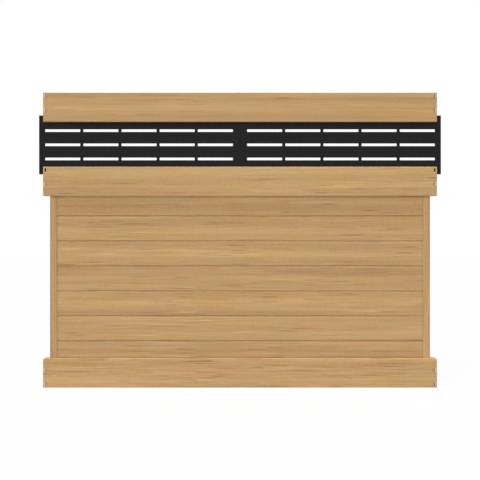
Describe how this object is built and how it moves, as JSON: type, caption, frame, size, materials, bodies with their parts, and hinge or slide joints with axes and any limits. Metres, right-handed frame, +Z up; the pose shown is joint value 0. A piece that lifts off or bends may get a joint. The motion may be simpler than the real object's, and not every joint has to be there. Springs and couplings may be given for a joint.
{
  "type": "vinyl fence panel",
  "caption": "Wood-look vinyl privacy fence panel with hollow rails, tongue and groove boards, side channels and a black slotted screen across the top.",
  "frame": {"origin": "middle of the left side channel's outer face, where the panel bears on a post", "axes": "+X along the panel to the right side channel, +Y from the front of the panel to its back, +Z up"},
  "size_m": [2.449, 0.0506, 1.7941],
  "materials": {
    "rail_vinyl": "embossed wood grain",
    "board_vinyl": "embossed wood grain",
    "channel_vinyl": "embossed wood grain",
    "black_coating": "satin black powder coat",
    "galvanised_steel": "zinc coated"
  },
  "bodies": {
    "root": {"bottom_rail": "rail_vinyl", "bottom_rail_stiffener": "galvanised_steel", "mid_rail": "rail_vinyl", "top_rail": "rail_vinyl", "board_1": "board_vinyl", "board_2": "board_vinyl", "board_3": "board_vinyl", "board_4": "board_vinyl", "board_5": "board_vinyl", "board_6": "board_vinyl", "board_7": "board_vinyl", "left_channel": "channel_vinyl", "right_channel": "channel_vinyl", "top_screen": "black_coating"}
  },
  "joints": []
}
